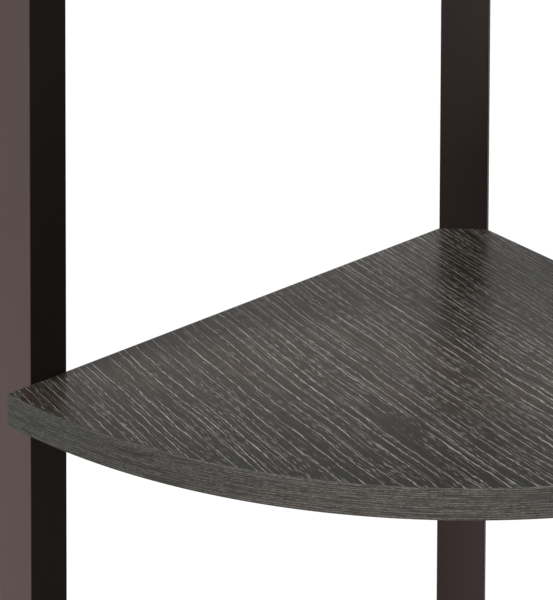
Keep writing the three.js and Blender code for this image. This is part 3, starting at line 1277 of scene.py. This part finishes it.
@dataclass
class Posts:
    """Square tubes, each with a cap in its top and a foot socket in its bottom."""

    bore_radius: float = 0.5 * MM
    moulding_radius: float = 1 * MM
    cap: float = 3 * MM
    cap_rim: float = 0.8 * MM
    cap_depth: float = 16 * MM
    cap_wall: float = 2 * MM
    cap_skin: float = 2 * MM
    socket_rim: float = 0.4 * MM
    socket_depth: float = 22 * MM
    socket_bore: float = 4.3 * MM
    rib: float = 1.4 * MM
    rib_pitch: float = 4 * MM
    rib_rise: float = 2.4 * MM

    @property
    def plug(self) -> float:
        """Half width of a plug over its ribs."""
        return SIZES.post / 2 - SIZES.post_wall - SIZES.seat

    def tube_mesh(self) -> Mesh:
        """The tube, with a hole through both walls at each shelf.

        Returns:
            The mesh.
        """
        wide, low, high = SIZES.post, SIZES.post_bottom, SIZES.post_top
        outer = square_bar(wide, SIZES.post_radius, low, high)
        bore = square_bar(wide - 2 * SIZES.post_wall, self.bore_radius, low - wide, high + wide)
        holes = [moved(round_bar(SIZES.bolt_hole, -wide, wide, along_x=True),
                       up(top - SIZES.board / 2)) for top in SIZES.shelf_tops]
        return settled(combined(outer, [bore, *holes], Combine.CUT), "tube")

    def ribbed_plug(self, depth: float, hollow: float) -> BMesh:
        """A barbed square plug that hangs from Z = 0 and reaches a little above it.

        Args:
            depth: How far down it reaches.
            hollow: Half width of the hollow that is open at its free end, or zero.

        Returns:
            The closed plug.
        """
        core, skin = self.plug - self.rib, -self.cap_skin
        side = [(core, -depth)]
        for start in range(int((depth - self.rib_rise) / self.rib_pitch)):
            low = -depth + self.rib_rise / 2 + start * self.rib_pitch
            side += [(core, low), (self.plug, low + self.rib_rise), (core, low + self.rib_rise)]
        end = [(0, skin), (hollow, skin), (hollow, -depth)] if hollow else [(0, -depth)]
        profile = [(half * math.sqrt(2), z) for half, z in (*end, *side, (core, LAP), (0, LAP))]
        square = moved(spun(profile, SQUARE_SIDES), Matrix.Rotation(EIGHTH_TURN, 4, "Z"))
        envelope = square_bar(2 * self.plug, self.bore_radius, -2 * depth, depth)
        return combined(square, [envelope], Combine.SHARED)

    def cap_mesh(self) -> Mesh:
        """The cap, with the underside of its flange on Z = 0.

        Returns:
            The mesh.
        """
        flange = square_bar(SIZES.post, self.moulding_radius, 0.0, self.cap)
        flange = rounded_rim(flange, (self.cap,), self.cap_rim, segments=4)
        plug = self.ribbed_plug(self.cap_depth, self.plug - self.rib - self.cap_wall)
        return settled(combined(flange, [plug], Combine.JOIN), "cap")

    def socket_mesh(self) -> Mesh:
        """The foot socket, with the top of its flange on Z = 0.

        Returns:
            The mesh.
        """
        low, deep = -SIZES.socket_flange, self.socket_depth
        flange = square_bar(SIZES.post, self.moulding_radius, low, 0.0)
        flange = rounded_rim(flange, (low,), self.socket_rim, segments=3)
        plug = moved(self.ribbed_plug(deep, 0.0), Matrix.Scale(-1, 4, (0, 0, 1)))
        bmesh.ops.recalc_face_normals(plug, faces=plug.faces)
        joined = combined(flange, [plug], Combine.JOIN)
        bore = round_bar(self.socket_bore, -deep, 2 * deep, WIDE_HOLE_SIDES)
        return settled(combined(joined, [bore], Combine.CUT), "socket")

    def dress(self) -> None:
        """Builds one tube, cap and socket and shows them with their finishes at every station."""
        tube, cap, socket = self.tube_mesh(), self.cap_mesh(), self.socket_mesh()
        for station in Station:
            name, place = station.value, SIZES.place(station)
            shown(tube, f"post_{name}_tube", place, "post_paint", f"post_{name}",
                  Finishes.POWDER_COAT)
            shown(cap, f"post_{name}_cap", place @ up(SIZES.post_top + SIZES.seat),
                  "black_plastic", f"post_cap_{name}", Finishes.PLASTIC)
            shown(socket, f"post_{name}_socket", place @ up(SIZES.post_bottom - SIZES.seat),
                  "black_plastic", f"foot_socket_{name}", Finishes.PLASTIC)


@dataclass
class LevellingFeet:
    """Moulded pads, each round the hexagonal head of a threaded stem."""

    sides: int = 72
    pad_radius: float = 12 * MM
    pad_height: float = 8 * MM
    base_ease: float = 0.8 * MM
    shoulder_height: float = 3.6 * MM
    shoulder_radius: float = 1.6 * MM
    shoulder_strips: int = 6
    neck_radius: float = 8.6 * MM
    head_across: float = 13 * MM
    head_height: float = 5.3 * MM
    head_ease: float = 0.8 * MM
    stem_length: float = 34 * MM
    thread: Thread = Thread(4 * MM, pitch=1.25 * MM, depth=0.68 * MM, tip=1.2 * MM, steps=28)

    def pad_mesh(self) -> Mesh:
        """The pad, with the pocket for the stem's head in its top.

        Returns:
            The mesh.
        """
        shoulder = [(self.pad_radius - self.shoulder_radius * (1 - math.cos(a)),
                     self.shoulder_height + self.shoulder_radius * math.sin(a))
                    for a in quarter_turn(self.shoulder_strips)]
        profile = [(0, 0), (self.pad_radius - self.base_ease, 0),
                   (self.pad_radius, self.base_ease), *shoulder,
                   (self.neck_radius, self.pad_height), (0, self.pad_height)]
        floor = SIZES.foot_top - self.head_height - SIZES.seat
        pocket = round_bar(hex_corner(self.head_across / 2 + SIZES.seat), floor,
                           2 * self.pad_height, HEX_SIDES)
        return settled(combined(spun(profile, self.sides), [pocket], Combine.CUT), "pad")

    def stem_mesh(self) -> Mesh:
        """The hexagonal head and the threaded stem that rises from it.

        Returns:
            The mesh.
        """
        top, low = SIZES.foot_top, SIZES.foot_top - self.head_height
        corner = hex_corner(self.head_across / 2)
        cone = spun([(0, low), (corner, low), (corner, top - self.head_ease / 2),
                     (self.head_across / 2 - self.head_ease, top), (0, top)], self.sides)
        head = combined(round_bar(corner, low, top, HEX_SIDES), [cone], Combine.SHARED)
        stem = self.thread.bar(top - LAP, top + self.stem_length)
        return settled(combined(head, [stem], Combine.JOIN), "stem")

    def dress(self) -> None:
        """Builds one pad and one stem and shows them with their finishes at every station."""
        pad, stem = self.pad_mesh(), self.stem_mesh()
        for station in Station:
            name, place = station.value, SIZES.place(station)
            shown(pad, f"foot_{name}_pad", place, "black_plastic", f"foot_pad_{name}",
                  Finishes.PLASTIC, body=f"{name}_foot")
            shown(stem, f"foot_{name}_stem", place, "zinc_steel", f"foot_stem_{name}",
                  Finishes.ZINC, body=f"{name}_foot")


@dataclass
class Fixings:
    """Flat-headed bolts through the posts and the barrel nuts that they hold the shelves by."""

    sides: int = 48
    head_radius: float = 7.5 * MM
    head_ease: float = 0.6 * MM
    head_strips: int = 4
    socket_across: float = 4 * MM
    socket_depth: float = 3 * MM
    thread: Thread = Thread(3 * MM, pitch=1 * MM, depth=0.5 * MM, tip=0.8 * MM, steps=16)
    thread_length: float = 22 * MM
    past_nut: float = 1.5 * MM
    nut_radius: float = 5 * MM
    nut_length: float = 12 * MM
    nut_ease: float = 0.4 * MM
    slot_width: float = 1.4 * MM
    slot_depth: float = 1.6 * MM

    def bolt_mesh(self) -> Mesh:
        """The bolt along +X, in the frame of its station and at the height of its axis.

        Returns:
            The mesh.
        """
        shank, under = self.thread.radius, -SIZES.post / 2 - SIZES.seat
        face = under - SIZES.head_height
        end = SIZES.nut_place + self.nut_radius + self.past_nut
        thread_start = end - self.thread_length
        rim = [(self.head_radius - self.head_ease * (1 - math.sin(a)),
                face + self.head_ease * (1 - math.cos(a))) for a in quarter_turn(self.head_strips)]
        blank = spun([(0, face), *rim, (self.head_radius, under), (shank, under),
                      (shank, thread_start + LAP), (0, thread_start + LAP)], self.sides)
        socket = round_bar(hex_corner(self.socket_across / 2), face - self.socket_depth,
                           face + self.socket_depth, HEX_SIDES)
        thread = self.thread.bar(thread_start, end)
        bolt = combined(combined(blank, [socket], Combine.CUT), [thread], Combine.JOIN)
        return settled(moved(bolt, Matrix.Rotation(QUARTER_TURN, 4, "Y")), "bolt")

    def nut_mesh(self) -> Mesh:
        """The barrel nut in the frame of its station, about the height of the bolt's axis.

        Returns:
            The mesh.
        """
        half, reach = self.nut_length / 2, 2 * self.nut_radius
        barrel = rounded_rim(round_bar(self.nut_radius, -half, half, self.sides), (-half, half),
                             self.nut_ease, segments=2)
        bore = round_bar(self.thread.radius, -reach, reach, along_x=True)
        slot = bmesh.new()
        bmesh.ops.create_cube(slot, size=1.0, matrix=up(-half) @ Matrix.Diagonal(
            (3 * self.nut_radius, self.slot_width, 2 * self.slot_depth, 1)))
        cut = combined(barrel, [bore, slot], Combine.CUT)
        return settled(moved(cut, Matrix.Translation((SIZES.nut_place, 0, 0))), "barrel_nut")

    def dress(self) -> None:
        """Builds one bolt and one nut and shows them wherever a post crosses a shelf."""
        bolt, nut = self.bolt_mesh(), self.nut_mesh()
        for station in Station:
            for number, top in enumerate(SIZES.shelf_tops, start=1):
                place = SIZES.place(station) @ up(top - SIZES.board / 2)
                tail = f"{number}_{station.value}"
                shown(bolt, f"fixing_{tail}_bolt", place, "black_steel", f"bolt_{tail}",
                      Finishes.BLACK_OXIDE)
                shown(nut, f"fixing_{tail}_nut", place, "zinc_steel", f"barrel_nut_{tail}",
                      Finishes.ZINC)


# Camera and studio


def facing(azimuth: float, height: float) -> Matrix:
    """The turn of a camera or light that stands at an azimuth, from -Y to +X, and a height."""
    return Matrix.Rotation(azimuth, 4, "Z") @ Matrix.Rotation(QUARTER_TURN - height, 4, "X")


@dataclass
class PhotoCamera:
    """The photographer's camera: a long lens that looks down on the middle shelf.

    Its place is given from the middle shelf's corner, out along the line between the two walls,
    aside towards the right post and above the shelf's top.
    """

    out: float = 8.56586
    aside: float = 0.30127
    above: float = 3.99244
    yaw: float = math.radians(2.6718)
    pitch: float = math.radians(25.2391)
    roll: float = math.radians(0.1893)
    focal_pixels: float = 18000
    long_side_pixels: int = 600
    sensor: float = 36

    def build(self) -> None:
        """Makes the camera and gives it to the scene."""
        height = SIZES.shelf_tops[SIZES.shelf_count // 2] + self.above
        away = Matrix.Rotation(-EIGHTH_TURN, 3, "Z") @ Vector((self.out, self.aside, height))
        turn = facing(EIGHTH_TURN + self.yaw, self.pitch) @ Matrix.Rotation(self.roll, 4, "Z")
        data = bpy.data.cameras.new("photo_camera")
        data.sensor_width = self.sensor
        data.lens = self.focal_pixels / self.long_side_pixels * self.sensor
        bpy.context.scene.camera = linked(
            "photo_camera", data, Matrix.Translation(SIZES.corner + away) @ turn)


@dataclass
class Studio:
    """A pale floor, a lit pale backdrop behind the unit, and soft lights from its left.

    The key's level is what a white surface that faces it shows.
    """

    key_azimuth: float = math.radians(-8)
    key_height: float = math.radians(54)
    key_level: float = 0.96
    key_spread: float = math.radians(16)
    card_azimuth: float = math.radians(-5.3)
    card_distance: float = 1.7
    card_width: float = 0.15
    card_height: float = 0.6
    card_level: float = 0.60
    backdrop: Ramp = Ramp(0.2, 0.75, 0.02, 1.5)
    floor_reach: float = 30
    floor_depth: float = 12 * MM
    floor_glow: float = 0.93
    floor_gloss: float = 0.40
    floor_colour: float = 0.10

    def build(self) -> None:
        """Makes the lights, the surround and the floor."""
        self.key()
        self.card()
        self.surround()
        self.floor()
        bpy.context.scene.view_settings.view_transform = "Standard"

    def key(self) -> None:
        """Adds a distant soft light."""
        data = bpy.data.lights.new("key", "SUN")
        data.energy = self.key_level * math.pi
        data.angle = self.key_spread
        linked("key", data, facing(self.key_azimuth, self.key_height))

    def card(self) -> None:
        """Adds a bright upright strip that stands on the floor in front of the unit."""
        around = Matrix.Rotation(self.card_azimuth, 3, "Z")
        place = around @ Vector((0, -self.card_distance, self.card_height / 2))
        back = place - Vector((0, 0, SIZES.shelf_tops[SIZES.shelf_count // 2]))
        turn = back.to_track_quat("Z", "Y").to_matrix().to_4x4()
        data = bpy.data.lights.new("card", "AREA")
        data.shape = "RECTANGLE"
        data.size = self.card_width
        data.size_y = self.card_height
        data.energy = self.card_level * math.pi ** 2 * back.length_squared
        light = linked("card", data, Matrix.Translation(place) @ turn)
        light.visible_camera = light.visible_glossy = light.visible_transmission = False

    def surround(self) -> None:
        """Makes a world that looks white, and lights the unit from the backdrop's side.

        What the camera sees is white, also in a reflection or through glass.
        """
        world = bpy.data.worlds.new("studio")
        bpy.context.scene.world = world
        g = Graph.of(world)
        behind = (-math.cos(EIGHTH_TURN), math.cos(EIGHTH_TURN), 0.0)
        lit = g.ramp(g.vector("DOT_PRODUCT", g.place("Generated"), behind)["Value"], self.backdrop)
        path = g.put("ShaderNodeLightPath").outputs
        shiny = g.calc("MAXIMUM", path["Is Glossy Ray"], path["Is Transmission Ray"])
        seen = g.calc("MAXIMUM", path["Is Camera Ray"], shiny)
        strength = g.calc("ADD", g.times(lit, g.calc("SUBTRACT", 1.0, seen)), seen)
        background = g.put("ShaderNodeBackground", {"Color": (1, 1, 1), "Strength": strength})
        g.put("ShaderNodeOutputWorld", {"Surface": background.outputs[0]})

    def floor(self) -> None:
        """Makes a floor that looks white and keeps the unit's shadow.

        It lies as deep as the feet reach when they are screwed out, so that it hides no foot at
        any pose.
        """
        bm = bmesh.new()
        bmesh.ops.create_grid(bm, x_segments=8, y_segments=8, size=self.floor_reach,
                              matrix=up(-self.floor_depth))
        mesh = meshed(bm, "floor")
        material = bpy.data.materials.new("pale_floor")
        mesh.materials.append(material)
        g = Graph.of(material)
        path = g.put("ShaderNodeLightPath").outputs
        plain = g.calc("MAXIMUM", path["Is Camera Ray"], path["Is Transmission Ray"])
        level = g.calc("MULTIPLY_ADD", plain, self.floor_glow,
                       g.times(path["Is Glossy Ray"], self.floor_gloss))
        glow = g.put("ShaderNodeEmission", {"Color": (1, 1, 1), "Strength": level})
        matt = g.put("ShaderNodeBsdfDiffuse", {"Color": (self.floor_colour,) * 3})
        both = g.fed("ShaderNodeAddShader", (glow.outputs[0], matt.outputs[0]))
        g.put("ShaderNodeOutputMaterial", {"Surface": both[0]})
        linked("floor", mesh)


def main() -> None:
    """Builds the camera, the studio and each sub-assembly of the unit."""
    logging.basicConfig(level=logging.INFO, format="%(name)s: %(message)s")
    PhotoCamera().build()
    Studio().build()
    for part in (Shelves(), Posts(), LevellingFeet(), Fixings()):
        log.info("building the %s", type(part).__name__)
        part.dress()


if __name__ == "__main__":
    main()
